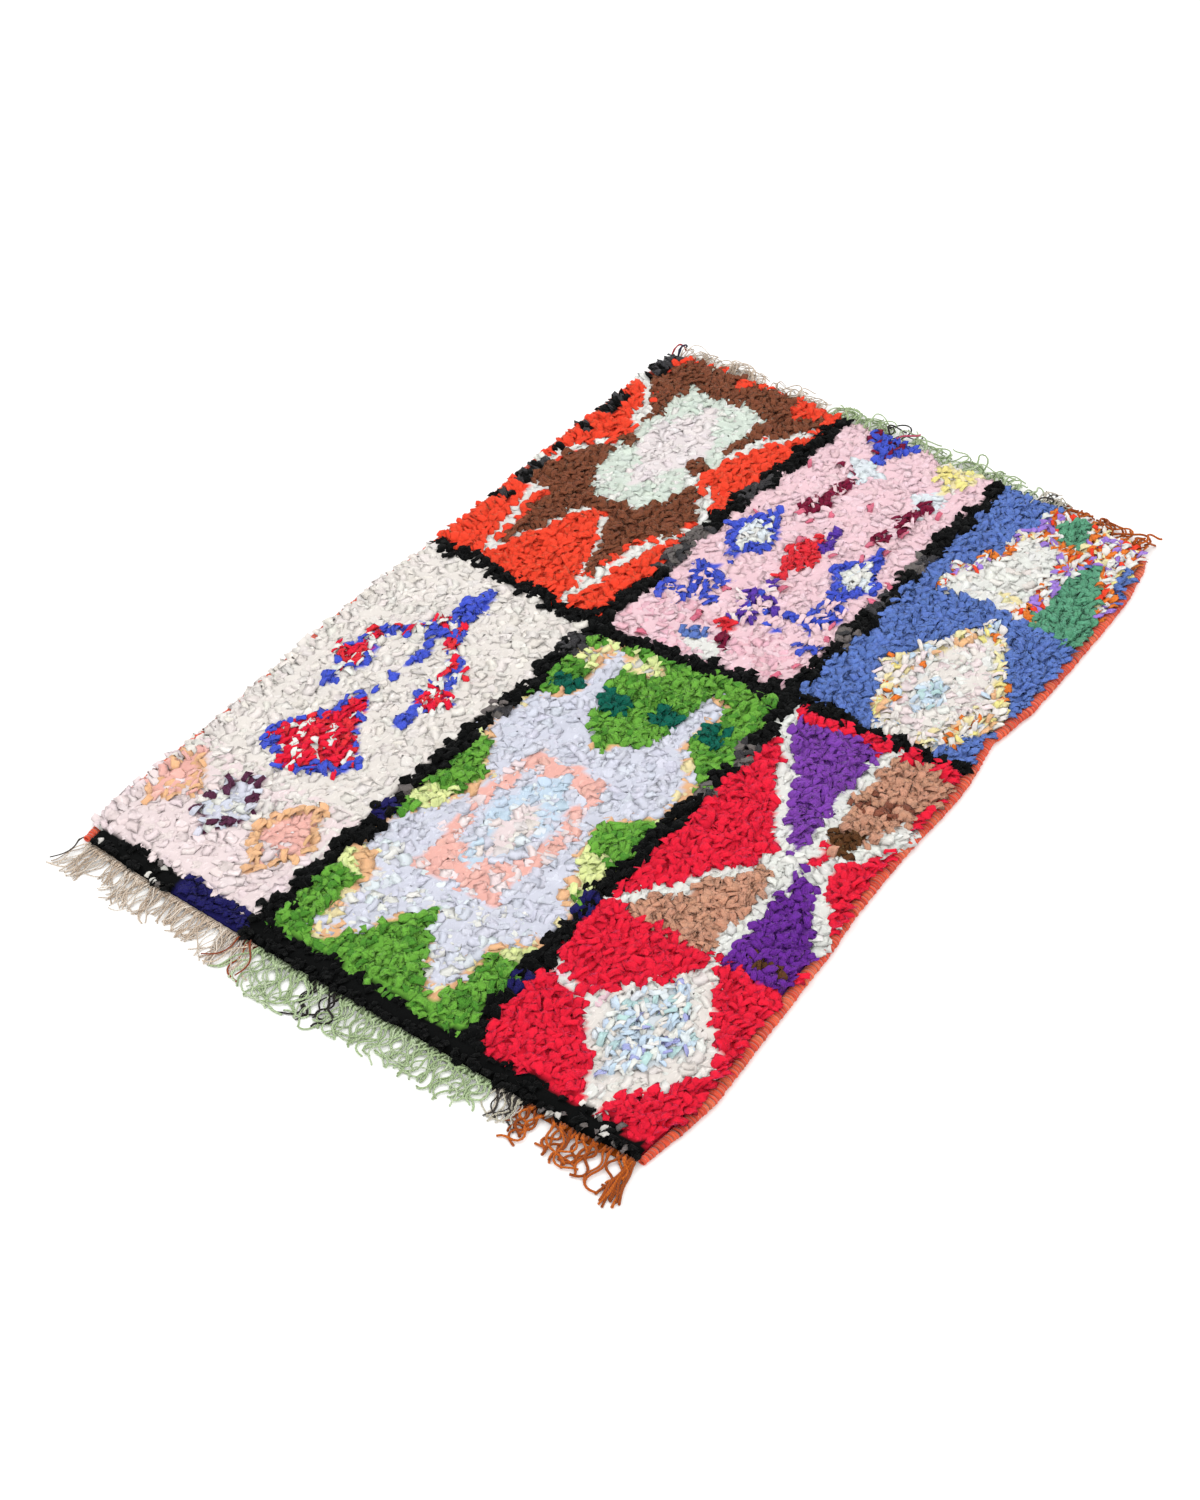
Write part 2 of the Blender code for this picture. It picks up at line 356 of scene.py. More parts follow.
# Far left: crossed brown figure round a long pale hexagon, on red-orange
crossed = dict(
    middle=-326,
    # Corners from the middle to the right, mirrored. A rim starts with its width
    brown=dict(
        top=[(0, 800), (168, 800), (168, 740), (150, 716), (0, 716)],
        arm=[(150, 790), (180, 742), (110, 640), (82, 572), (72, 600), (82, 716)],
        thigh=[(60, 482), (98, 470), (140, 400), (150, 330), (110, 318), (50, 345)],
        belly=[(0, 352), (135, 340), (140, 318), (95, 300), (0, 312)],
        leg=[(20, 318), (112, 318), (92, 235), (88, 190), (84, 140), (62, 200)],
    ),
    rims=[(23, (172, 722), (112, 610), (88, 566)),
          (23, (112, 474), (152, 405), (162, 345), (128, 300), (108, 190), (92, 78)),
          (17, (14, 316), (50, 225), (84, 132))],
    # Places on the rug
    notches=[[(-522, 815), (-406, 815), (-464, 728)], [(-348, 815), (-300, 815), (-324, 748)],
             [(-244, 815), (-132, 815), (-188, 732)]],
    hexagon=[(-410, 718), (-234, 718), (-242, 600), (-230, 500), (-246, 400), (-274, 342),
             (-376, 342), (-398, 400), (-418, 500), (-404, 600)],
    heart=(-326, 540, 66, 150),
    waist=[(-400, 508, 19, 24), (-252, 508, 19, 24)],
    sideRags=[(706, 781), (546, 616), (480, 511), (406, 431), (290, 356), (226, 256)], sideWidth=16,
)


def crossedCompartment(cloth):
    middle = crossed["middle"]
    layRags(cloth, True, "redOrange")
    for width, *corners in crossed["rims"]:
        layEach(cloth, band, [(width, *side) for side in mirrored(corners, middle)], "white")
    for corners in crossed["brown"].values():
        layEach(cloth, figure, mirrored(corners, middle), "brown")
    layEach(cloth, figure, crossed["notches"], "redOrange")
    layRags(cloth, figure(cloth, *crossed["hexagon"]), "paleMint", "paleMint", "white")
    layRags(cloth, lozenge(cloth, *crossed["heart"]), "shellPink")
    layEach(cloth, lozenge, crossed["waist"], "brown")
    atSide = cloth["x"] < edge("left", cloth["y"] / 1000) * 1000 + crossed["sideWidth"]
    for low, high in crossed["sideRags"]:
        layRags(cloth, atSide & between(cloth["y"], low, high), "black", "charcoal")


# Far middle: two columns of lozenges and small marks on pink
columns = dict(
    tops=[(-18, 812, 62, 104, ("royalBlue", "royalBlue", "maroon", "royalBlue")),
          (122, 806, 58, 104, ("butter", "cream", "butter", "yellow"))],
    tails=[(-20, 682, 34, 52), (118, 672, 32, 58)],
    chains=[(-43, 672, 12, 20), (-28, 648, 12, 22), (-25, 608, 18, 30), (-36, 556, 24, 44),
            (120, 648, 12, 24), (116, 600, 15, 44), (101, 536, 16, 30)],
    outlined=[(-79, 412, 44, 88), (122, 412, 42, 92)], outlinedShares=(0.68, 0.68),
    crosses=[(-82, 250, 22, 78), (-84, 282, 44, 26), (-80, 222, 30, 18), (128, 300, 32, 74),
             (112, 268, 52, 18)],
    feet=[(-122, 208, 18, 20), (-44, 216, 16, 22), (78, 218, 20, 16), (148, 216, 24, 14)],
    flame=(18, 411, 29, 74), flameTip=(36, 468, 15, 32),
    mottle=[(22, 262, 42, 52), (18, 308, 10, 30), (18, 218, 20, 36)],
    threshold=(-27, 40, 92, 128),
    marks=[(2, 28, 168, 198, "red"), (-33, -4, 128, 154, "denimBlue"), (14, 40, 128, 164, "maroon")],
    deeperBelow=196, fleckAbove=0.985,
)


def columnsCompartment(cloth):
    layRags(cloth, True, "pink")
    layRags(cloth, cloth["y"] < columns["deeperBelow"], "pink", "rose", "pink", "rose")
    layRags(cloth, cloth["chance"] > columns["fleckAbove"], "rosyRed", fine=True)
    layEach(cloth, lozenge, columns["tails"], "iceBlue")
    for *place, mix in columns["tops"]:
        layRags(cloth, lozenge(cloth, *place), *mix)
    layEach(cloth, lozenge, columns["chains"], "maroon", "maroon", "maroon", "pink", fine=True)
    for place in columns["outlined"]:
        layRags(cloth, lozenge(cloth, *place), "royalBlue", fine=True)
        layRags(cloth, lozenge(cloth, *inner(place, columns["outlinedShares"])),
                "white", "iceBlue", "white", fine=True)
    layEach(cloth, lozenge, columns["crosses"] + columns["feet"], "royalBlue", "pink", "royalBlue", fine=True)
    layEach(cloth, lozenge, columns["mottle"], "violet", "pink", "royalBlue", "blush", "violet", fine=True)
    layRags(cloth, lozenge(cloth, *columns["flameTip"]), "violet")
    layRags(cloth, lozenge(cloth, *columns["flame"]), "red", fine=True)
    layRags(cloth, block(cloth, *columns["threshold"]), "white")
    for *place, rag in columns["marks"]:
        layRags(cloth, block(cloth, *place), rag)


# Far right: a stepped white tower in many-coloured flecks over a flecked lozenge, on blue
stepped = dict(
    tower=[(298, 372, 540, 694), (270, 376, 520, 596), (250, 376, 480, 552)], glow=(332, 374, 505, 536),
    towerRim=14, rightRim=(368, 412, 480, 700),
    sky=(304, 500, 690, 800), skyBlue=(462, 512, 662, 728), spire=(344, 382, 716, 782),
    hill=[(434, 700), (408, 660), (408, 466), (510, 466), (510, 545), (470, 610)],
    hillEdge=(34, (450, 712), (478, 622), (505, 560)),
    sill=474,
    lozenge=(372, 250, 120, 224), heart=(371, 262, 72, 172), eye=(357, 231, 23, 46),
    bright=("orange", "white", "redOrange", "lilac", "white", "orange", "butter", "white", "lilac", "cream"),
    flecked=("butter", "cream", "peach", "cream", "paleBlue", "butter", "cream", "yellow", "blush", "orange",
             "cream"),
)


def steppedCompartment(cloth):
    bright = stepped["bright"]
    layRags(cloth, True, "denimBlue")
    whole = cloth["mine"]
    cloth["mine"] = whole & (cloth["y"] > stepped["sill"])
    layRags(cloth, block(cloth, *stepped["sky"]), *bright, fine=True)
    layRags(cloth, block(cloth, *stepped["skyBlue"]), "denimBlue", "denimBlue", "yellow")
    layRags(cloth, block(cloth, *stepped["spire"]), "fernGreen")
    layRags(cloth, block(cloth, *stepped["rightRim"]), *bright, fine=True)
    rim = stepped["towerRim"]
    for left, right, low, high in stepped["tower"]:
        layRags(cloth, block(cloth, left - rim, right, low, high + rim), *bright, fine=True)
    layRags(cloth, band(cloth, *stepped["hillEdge"]), *bright, fine=True)
    layRags(cloth, figure(cloth, *stepped["hill"]), "fernGreen")
    layEach(cloth, block, stepped["tower"], "white", "white", "cream")
    layRags(cloth, block(cloth, *stepped["glow"]), "butter", "white")
    cloth["mine"] = whole & (cloth["y"] <= stepped["sill"])
    layRags(cloth, lozenge(cloth, *stepped["lozenge"]), *stepped["flecked"], fine=True)
    layRags(cloth, lozenge(cloth, *stepped["heart"]), "cream", "white", "blush")
    layRags(cloth, lozenge(cloth, *stepped["eye"]), "iceBlue", "paleBlue", "aqua", "paleBlue", fine=True)


# Near left: an open chevron, a red and white tree and a row of three lozenges, on cream
chevron = dict(
    blobs=[(-338, 2, 11, 20), (-340, -32, 28, 34), (-347, -123, 15, 24), (-340, -178, 14, 30),
           (-344, -240, 8, 12)],
    # A band starts with its width
    arms=[(22, (-342, -66), (-384, -118), (-434, -200)), (22, (-338, -72), (-294, -145), (-262, -195))],
    tails=[(14, (-424, -275), (-416, -312)), (14, (-264, -275), (-268, -326))],
    hands=[(-424, -240, 36, 56), (-260, -240, 36, 48)],
    tree=[(-342, -302), (-322, -346), (-304, -388), (-264, -438), (-286, -466), (-330, -474), (-347, -512),
          (-362, -474), (-408, -464), (-408, -436), (-380, -388), (-366, -346)],
    treeGrow=1.16, treeMiddle=(-340, -410),
    # Each lozenge of the row, with the rags of its rim and of its inside
    row=[((-465, -615, 52, 74), ("peach", "salmon"), ("salmon", "peach", "salmon", "blush")),
         ((-357, -613, 46, 80), ("plum", "lavender"), ("lavender", "white")),
         ((-246, -615, 54, 92), ("peach", "peach"), ("salmon", "salmon", "blush"))],
    innerShares=(0.74, 0.78),
    blushBelow=-520, blushSpread=160,
)


def chevronCompartment(cloth):
    shares = chevron["innerShares"]
    layRags(cloth, True, "cream")
    layRags(cloth, cloth["y"] + chevron["blushSpread"] * cloth["chance"] < chevron["blushBelow"], "blush")
    layEach(cloth, band, chevron["arms"], "royalBlue", "crimson", "royalBlue", "red", "white", fine=True)
    layEach(cloth, band, chevron["tails"], "royalBlue")
    for place in chevron["hands"]:
        layRags(cloth, lozenge(cloth, *place), "royalBlue", "royalBlue", "white", "crimson", fine=True)
        layRags(cloth, lozenge(cloth, *inner(place, shares)), "crimson", "white", "red", fine=True)
    layEach(cloth, lozenge, chevron["blobs"], "royalBlue")
    outline = grown(chevron["tree"], chevron["treeGrow"], chevron["treeMiddle"])
    layRags(cloth, figure(cloth, *outline), "royalBlue", "royalBlue", "royalBlue", "crimson", fine=True)
    layRags(cloth, figure(cloth, *chevron["tree"]), "crimson", "white", "red", "crimson", fine=True)
    for place, rim, inside in chevron["row"]:
        layRags(cloth, lozenge(cloth, *place), *rim, fine=True)
        layRags(cloth, lozenge(cloth, *inner(place, shares)), *inside)


# Near middle: a lavender figure with two horns and two legs, on leaf green
horned = dict(
    middle=10,
    # Corners from the middle to the right, mirrored
    body=[(0, -197), (40, -142), (64, -90), (70, 5), (88, 16), (104, -10), (100, -100), (160, -198),
          (158, -244), (94, -325), (94, -375), (162, -500), (162, -545), (108, -590), (104, -700),
          (70, -708), (36, -640), (0, -583)],
    grow=1.07, growFrom=(0, -350), growAside=4, legsBelow=-530,
    # Places on the rug
    frames=[(-66, 72, -290, -236), (-68, 74, -546, -468)],
    frameSides=[(26, (-58, -288), (-70, -384), (-56, -470)), (26, (60, -288), (78, -384), (62, -470))],
    pond=[(4, -258), (46, -322), (54, -384), (34, -440), (0, -508), (-34, -440), (-46, -384), (-28, -322)],
    heart=(8, -398, 36, 78),
    spots=[(-117, -86, 24, 19), (-30, -80, 24, 19), (60, -65, 24, 19), (140, -56, 24, 19)],
    patches=[(-130, -240, 27, 22), (-118, -420, 34, 30), (-136, -584, 26, 20),
             (160, -242, 28, 26), (138, -410, 42, 38), (158, -580, 26, 22)],
    highPatches=[(-150, -98, -38, 8), (-116, 0, -6, 38)],
)


def hornedCompartment(cloth):
    middle = horned["middle"]
    layRags(cloth, True, "leafGreen", "leafGreen", "darkLeaf")
    layEach(cloth, patch, horned["patches"], "lime", "lime", "butter", "lime")
    layEach(cloth, block, horned["highPatches"], "butter", "lime", "peach", "ash")
    outline = grown(horned["body"], horned["grow"], horned["growFrom"])
    outline = [(x + horned["growAside"], y) for x, y in outline]
    layEach(cloth, figure, mirrored(outline, middle), "peach", "peach", "butter", "lavender")
    right, left = (figure(cloth, *corners) for corners in mirrored(horned["body"], middle))
    layRags(cloth, right | left, "lavender")
    legs = (right | left) & (cloth["y"] < horned["legsBelow"])
    layRags(cloth, legs, "lavender", "iceBlue", "lavender", "white")
    layEach(cloth, patch, horned["spots"], "teal")
    layEach(cloth, block, horned["frames"], "salmon", "salmon", "blush")
    layEach(cloth, band, horned["frameSides"], "salmon", "blush")
    layRags(cloth, figure(cloth, *horned["pond"]), "paleBlue", "lavender", "paleBlue", "iceBlue")
    layRags(cloth, lozenge(cloth, *horned["heart"]), "blush", "shellPink", "cream")


# Near right: a purple and tan hourglass outlined in white, over a pale lozenge, on crimson
hourglass = dict(
    lowY=-437,
    wings=[("purple", (220, 66), (366, 70), (370, -212), (356, -212)),
           ("deepPurple", (388, -198), (420, -205), (494, -326), (500, -437), (388, -437)),
           ("tan", (388, 74), (490, 78), (480, -62), (428, -195), (390, -150)),
           ("tan", (358, -207), (380, -207), (380, -437), (208, -437))],
    whiteBands=[((204, 66), (364, -226)), ((376, 76), (384, -437)), ((482, -56), (412, -215)),
                ((356, -214), (208, -437)), ((420, -208), (494, -330))],
    bandWidth=27,
    marks=[(392, 440, -152, -100, ("bark",)), (388, 468, -58, -6, ("darkTan", "tan")),
           (404, 500, -412, -390, ("bark", "deepPurple"))],
    lozenge=(388, -598, 112, 158), heart=(376, -596, 70, 106),
    spur=(22, (192, -580), (290, -600)),
    pale=("iceBlue", "white", "paleBlue", "periwinkle", "white", "paleBlue", "cream", "aqua", "iceBlue",
          "paleBlue"),
)


def hourglassCompartment(cloth):
    layRags(cloth, True, "crimson")
    whole = cloth["mine"]
    cloth["mine"] = whole & (cloth["y"] > hourglass["lowY"])
    for rag, *corners in hourglass["wings"]:
        layRags(cloth, figure(cloth, *corners), rag)
    layEach(cloth, band, [(hourglass["bandWidth"], *line) for line in hourglass["whiteBands"]], "white")
    for *place, mix in hourglass["marks"]:
        layRags(cloth, block(cloth, *place), *mix)
    cloth["mine"] = whole
    layRags(cloth, lozenge(cloth, *hourglass["lozenge"]), "cream", "white", "cream")
    layRags(cloth, lozenge(cloth, *hourglass["heart"]), *hourglass["pale"], fine=True)
    layRags(cloth, band(cloth, *hourglass["spur"]), "white", "pink")


def drawLines(cloth):
    # Black lines with stretches of grey and navy, where the weaver ran out of black
    for name in ("left", "right"):
        line = band(cloth, dividers["lineWidth"], *dividers[name + "Line"])
        layRags(cloth, line, "black")
        for low, high, rag in dividers[name + "Runs"]:
            darker = "charcoal" if rag == "grey" else "black"
            layRags(cloth, line & between(cloth["y"], low, high), rag, rag, darker)
    layRags(cloth, band(cloth, dividers["crossWidth"], *dividers["crossLine"]), "black")
    cloth["mine"] = cloth["y"] < dividers["nearBorder"]
    layRags(cloth, True, "black")
    layRags(cloth, between(cloth["x"], *dividers["navyRun"]), "navy")
    for left, right in dividers["flecks"]:
        layRags(cloth, between(cloth["x"], left, right) & (cloth["chance"] > dividers["fleckAbove"]),
                "grey", "ash", "grey", fine=True)


# Waves by which the figures' edges wander: reach in mm, how far a wave across it bends it, and that
# wave's reach and start. Then how far a single tuft strays
wander = dict(first=(17, 2.1, 29, 0), second=(13, 1.7, 37, 0), slip=(21, 1.3, 19, 4), strayX=0.4, strayY=0.8)


def bentWave(along, across, reach, bend, acrossReach, start):
    return np.sin(along / reach + bend * np.sin(across / acrossReach + start))


def paintCloth(x, y, chance, rng, ragged):
    # Rag number for each tuft, from where its tip lies. ragged is how far the edges wander, in mm
    strayX, strayY = wander["strayX"], wander["strayY"]
    sway = ragged * (bentWave(x, y, *wander["first"]) + bentWave(y, x, *wander["second"])) / 2
    slip = ragged * (bentWave(y, x, *wander["slip"]) + rng.uniform(-strayY, strayY, len(x)))
    cloth = dict(x=x + sway + rng.uniform(-strayX, strayX, len(x)) * ragged, y=y + slip,
                 chance=chance, rag=np.zeros(len(x), int), fine=np.zeros(len(x), bool))
    which = compartments(cloth)
    makers = (crossedCompartment, columnsCompartment, steppedCompartment,
              chevronCompartment, hornedCompartment, hourglassCompartment)
    for number, maker in enumerate(makers):
        cloth["mine"] = which == number
        maker(cloth)
    cloth["mine"] = True
    drawLines(cloth)
    return cloth["rag"], cloth["fine"], which


# Rag material: torn strips of cotton jersey, soft and matt, pleated and creased along each strip
ragFinish = dict(
    roughness=0.9, sheen=0.03, shine=0.06, glow=0.25, glowReach=0.006,
    pleatMm=(5.0, 11.0), creaseMm=(2.6, 4.0), threadMm=1.6, fadeMm=34.0,
    sheetSoftness=2.4, pleatDeep=0.0028, creaseDeep=0.0012, paintedCreaseShade=(0.86, 1.10), fadeShade=(0.88, 1.1),
    threadDeep=0.0005, threadStrength=0.25,
)


def creases(tree, along, sizeMm, detail):
    # Ridged noise, drawn out along the strip
    stretch = addNode(tree, "VectorMath", {"operation": "MULTIPLY", 1: (1 / sizeMm[0], 1 / sizeMm[1], 1)},
                      {0: along})
    return addNode(tree, "TexNoise",
                   {"noise_dimensions": "2D", "noise_type": "RIDGED_MULTIFRACTAL", "normalize": True,
                    "Scale": 1.0, "Detail": detail, "Roughness": 0.6, "Distortion": 0.6},
                   {"Vector": stretch})


def ragMaterial(name):
    make = ragFinish
    material, tree = newMaterial(name)
    crisp = addNode(tree, "Attribute", {"attribute_name": "crisp"}).outputs["Fac"]
    place = addNode(tree, "TexCoord").outputs["Object"]
    along = addNode(tree, "UVMap", {"uv_map": "along"})
    fade = addNode(tree, "TexNoise", {"Scale": 1000 / make["fadeMm"], "Detail": 3.0}, {"Vector": place})
    pleats = creases(tree, along, make["pleatMm"], 1.0)
    crumples = creases(tree, along, make["creaseMm"], 2.0)
    threads = addNode(tree, "TexNoise", {"Scale": 1000 / make["threadMm"], "Detail": 1.0}, {"Vector": place})
    # Washed unevenly, with painted shade darker in the creases and painted highlight lighter on the ridges
    low, high = make["fadeShade"]
    worn = addNode(tree, "MapRange", {"To Min": low, "To Max": high}, {"Value": fade})
    low, high = make["paintedCreaseShade"]
    paintedCreases = addNode(tree, "MapRange", {"From Min": 0.2, "From Max": 0.75, "To Min": low, "To Max": high},
                      {"Value": pleats})
    shade = addNode(tree, "Math", {"operation": "MULTIPLY"}, {0: worn, 1: paintedCreases})
    pleatBump = addNode(tree, "Bump", {"Distance": make["pleatDeep"]}, {"Height": pleats, "Strength": crisp})
    creaseBump = addNode(tree, "Bump", {"Distance": make["creaseDeep"]},
                         {"Height": crumples, "Normal": pleatBump, "Strength": crisp})
    fineBump = addNode(tree, "Bump", {"Strength": make["threadStrength"], "Distance": make["threadDeep"]},
                       {"Height": threads, "Normal": creaseBump})
    # Thin sheeting lets light through, so its folds shade less: its normals lean upwards
    softness = addNode(tree, "MapRange", {"From Min": 1.0, "From Max": 0.0, "To Min": 0.0,
                                          "To Max": make["sheetSoftness"]}, {"Value": crisp})
    upwards = addNode(tree, "CombineXYZ", None, {"Z": softness})
    leaning = addNode(tree, "VectorMath", {"operation": "ADD"}, {0: fineBump, 1: upwards})
    softNormal = addNode(tree, "VectorMath", {"operation": "NORMALIZE"}, {0: leaning})
    finishDyedAndShaded(tree, make, shade, softNormal,
               {"Subsurface Weight": make["glow"], "Subsurface Radius": (1, 1, 1),
                "Subsurface Scale": make["glowReach"]})
    return material


tornJersey = ragMaterial("tornCottonJersey")


# One end of a torn rag strip, modelled standing in its knot and falling over flat

ragMake = dict(
    shapes=14,
    corners=5, width=0.0145, thickness=0.0008, tear=0.0040,
    steps=(0.0078, 0.0080, 0.0078), grows=(1.6, 1.1, 0.95), cutSlant=0.6, sideStep=0.0022, leanShake=6,
    jersey=dict(leans=(34, 68, 98), leanSpread=13, pleat=0.0018, crumple=0.0012, twist=0.18),
    sheet=dict(leans=(80, 89, 91), leanSpread=5, pleat=0.0003, crumple=0.0006, twist=0.04),
    # How crisply each light rag creases, against 1 for the coloured jersey. Under sheetBelow it is thin
    # worn sheeting, which lies flatter
    crispness=dict(cream=0.5, white=0.6, shellPink=0.5, blush=0.5, paleMint=0.5, lavender=0.58, paleBlue=0.5,
                   iceBlue=0.5, salmon=0.55, peach=0.6, butter=0.55, ash=0.6, pink=0.63, rose=0.64,
                   aqua=0.7, yellow=0.7, lilac=0.7, redOrange=0.68, crimson=0.85, lime=0.85),
    sheetBelow=0.65,
)


def modelRagEnd(kind, number):
    # A thin pleated strip of jersey or sheeting, extruded section by section as it falls over
    make = ragMake[kind]
    chance = random.Random(100 + number)
    bpy.ops.mesh.primitive_circle_add(vertices=ragMake["corners"], radius=1, fill_type="NGON",
                                      rotation=(0, 0, chance.choice((0, math.pi))))
    ragEnd = bpy.context.object
    bpy.ops.object.transform_apply(rotation=True)
    startEdit()
    bpy.ops.transform.resize(value=(ragMake["width"] / 2 / ragMake["grows"][0], ragMake["thickness"] / 2, 1),
                             center_override=(0, 0, 0))
    bpy.ops.transform.vertex_random(offset=make["pleat"], uniform=0.2, seed=number + 50)
    middle = Vector((0, 0, 0))
    lean = 0
    spread = math.radians(chance.uniform(-1, 1) * make["leanSpread"])
    aside, shake = ragMake["sideStep"], ragMake["leanShake"]
    for step, degrees, grow in zip(ragMake["steps"], make["leans"], ragMake["grows"]):
        newLean = math.radians(degrees + chance.uniform(-shake, shake)) + spread
        move = Vector((chance.uniform(-aside, aside), step * math.sin(newLean), step * math.cos(newLean)))
        middle += move
        bpy.ops.mesh.extrude_region_move(TRANSFORM_OT_translate={"value": move})
        bpy.ops.transform.rotate(value=newLean - lean, orient_axis="X", center_override=middle)
        bpy.ops.transform.resize(value=(grow * chance.uniform(0.85, 1.15), 1, 1), center_override=middle)
        bpy.ops.transform.rotate(value=chance.uniform(-1, 1) * make["twist"], orient_axis="Y",
                                 center_override=middle)
        lean = newLean
    # The end is cut at a slant and frayed into corners
    bpy.ops.transform.rotate(value=chance.uniform(-1, 1) * ragMake["cutSlant"], orient_axis="Z",
                             center_override=middle)
    bpy.ops.transform.vertex_random(offset=ragMake["tear"], uniform=0.2, seed=number + 90)
    bpy.ops.mesh.select_all(action="SELECT")
    bpy.ops.transform.vertex_random(offset=make["crumple"], uniform=0.3, seed=number)
    bpy.ops.mesh.normals_make_consistent(inside=False)
    bpy.ops.object.mode_set(mode="OBJECT")
    return meshArrays(ragEnd)


bpy.ops.object.select_all(action="DESELECT")
ragShapes = [modelRagEnd(kind, number) for kind in ("jersey", "sheet") for number in range(ragMake["shapes"])]
print("rag ends modelled:", len(ragShapes))


# The knots, and where their ends fall: mostly away from the near end, and outwards at the edges

knots = dict(
    rowPitch=0.0165, tuftPitch=0.0155, endsPerTuft=3, endSpacing=0.0042,
    edgeMargin=0.001, shakeX=0.0012, shakeY=0.0050,
    acrossShake=0.3, alongShake=0.16, rowWave=(0.16, 21, 60), acrossMargin=0.004,
)
fall = dict(
    spread=0.55, fan=0.6,
    leftReach=0.030, leftTurn=1.25, rightReach=0.010, rightTurn=-0.5,
    nearReach=0.026, nearTurn=3.1, navyTurn=-1.5,
    # Turned ends vary by only a share of the others' spread, and not all ends near an edge turn
    sideLoose=0.4, nearLoose=0.5, navyLoose=0.15, leftShares=(0.5, 1.0), nearShares=(0.4, 1.0),
    lengths=(0.80, 1.12), widths=(0.55, 1.25), heights=(0.9, 1.1),
    borderLength=0.66, borderWidth=0.78, borderHeight=0.66, fineWidth=0.8, sheetWidth=1.42,
    visibleReach=0.0150, rootHeight=0.0125, sheetRise=0.0024, borderRise=0.0018, raggedMm=6.5,
    tint=1.15, tintShake=(0.93, 1.05), hueShake=(0.98, 1.02),
)


def tuftPlaces():
    # Rows of knots across the cloth, each row a little wavy and each knot a little out of line
    rng = np.random.default_rng(7)
    rows = round(float(edge("far", 0) - edge("near", 0)) / knots["rowPitch"])
    perRow = round(float(edge("right", 0) - edge("left", 0)) / knots["tuftPitch"])
    across, along = np.meshgrid((np.arange(perRow) + 0.5) / perRow, (np.arange(rows) + 0.5) / rows)
    across = across + rng.uniform(-1, 1, across.shape) * knots["acrossShake"] / perRow
    along = along + rng.uniform(-1, 1, along.shape) * knots["alongShake"] / rows
    wave, waveAcross, waveAlong = knots["rowWave"]
    along = along + wave / rows * np.sin(across * waveAcross + along * waveAlong)
    margin = knots["acrossMargin"]
    return clothPoint(np.clip(across.ravel(), margin, 1 - margin), along.ravel())


def fallTurns(x, y, side, navy, rng):
    # Turn about Z for each rag end: 0 falls towards the far end, a quarter turn towards the left
    turn = rng.normal(0, fall["spread"], len(x)) - side * fall["fan"]
    atLeft = x - edge("left", y) < fall["leftReach"] * rng.uniform(*fall["leftShares"], len(x))
    turn = np.where(atLeft, fall["leftTurn"] + turn * fall["sideLoose"], turn)
    atRight = edge("right", y) - x < fall["rightReach"]
    turn = np.where(atRight, fall["rightTurn"] + turn * fall["sideLoose"], turn)
    atNear = y - edge("near", x) < fall["nearReach"] * rng.uniform(*fall["nearShares"], len(x))
    turn = np.where(atNear, fall["nearTurn"] + turn * fall["nearLoose"], turn)
    return np.where(navy, fall["navyTurn"] + turn * fall["navyLoose"], turn)


# The packed rags between the knots and the loose ends, seen in the gaps as a lumpy layer

packedMake = dict(
    cellsAcross=120, cellsAlong=186,
    top=0.0165, borderDrop=0.0055, borderFade=0.012, roughness=0.0010,
    rimReach=0.012, rimHeight=0.0045, thickness=0.0015, raggedMm=4.0,
    swells=[(0.048, 0.0011), (0.210, 0.0009), (0.015, 0.0007)],
)


def pileHeight(x, y, height):
    # A height within the pile, with its swells, lower along the near border and at the rim
    for reach, size in packedMake["swells"]:
        swell = np.sin(x / reach * 6.28 + 2 * np.sin(y / reach * 3.1)) * np.sin(y / reach * 6.28 + 1.1)
        height = height + size * swell
    borderY = dividers["nearBorder"] / 1000
    inBorder = np.clip((borderY + packedMake["borderFade"] / 2 - y) / packedMake["borderFade"], 0, 1)
    height = height - packedMake["borderDrop"] * inBorder
    inside = np.minimum(np.minimum(x - edge("left", y), edge("right", y) - x),
                        np.minimum(y - edge("near", x), edge("far", x) - y))
    share = np.clip(inside / packedMake["rimReach"], 0, 1) ** 0.6
    return packedMake["rimHeight"] + (height - packedMake["rimHeight"]) * share


def placeCopies(pick, turn, size, places, colours, crisp):
    # Copies of each modelled rag end, scaled, turned about Z and put in place
    parts = []
    for number, shape in enumerate(ragShapes):
        mine = np.flatnonzero(pick == number)
        if not len(mine):
            continue
        points = shape[0]
        scaled = points[None] * size[mine][:, None]
        cos, sin = np.cos(turn[mine])[:, None], np.sin(turn[mine])[:, None]
        x = scaled[..., 0] * cos - scaled[..., 1] * sin
        y = scaled[..., 0] * sin + scaled[..., 1] * cos
        put = np.stack([x, y, scaled[..., 2]], axis=-1) + places[mine][:, None]
        # Painted shade: a little darker down in the knot, where the pile shades it
        tone = 0.9 + 0.1 * np.clip(points[:, 2] / points[:, 2].max() * 1.5, 0, 1)
        dyedAndShaded = colours[mine][:, None] * tone[None, :, None]
        # Across and along the strip in mm, so that its pleats follow it, shifted from strip to strip
        along = np.stack([scaled[..., 0], scaled[..., 1] + scaled[..., 2]], axis=-1) * 1000
        along = along + np.stack([mine * 37.0 % 911, mine * 53.0 % 877], axis=-1)[:, None]
        parts.append(copiesOf(shape, put, dyedAndShaded.reshape(-1, 3), along=along.reshape(-1, 2),
                              crisp=np.repeat(crisp[mine], len(points))))
    return parts


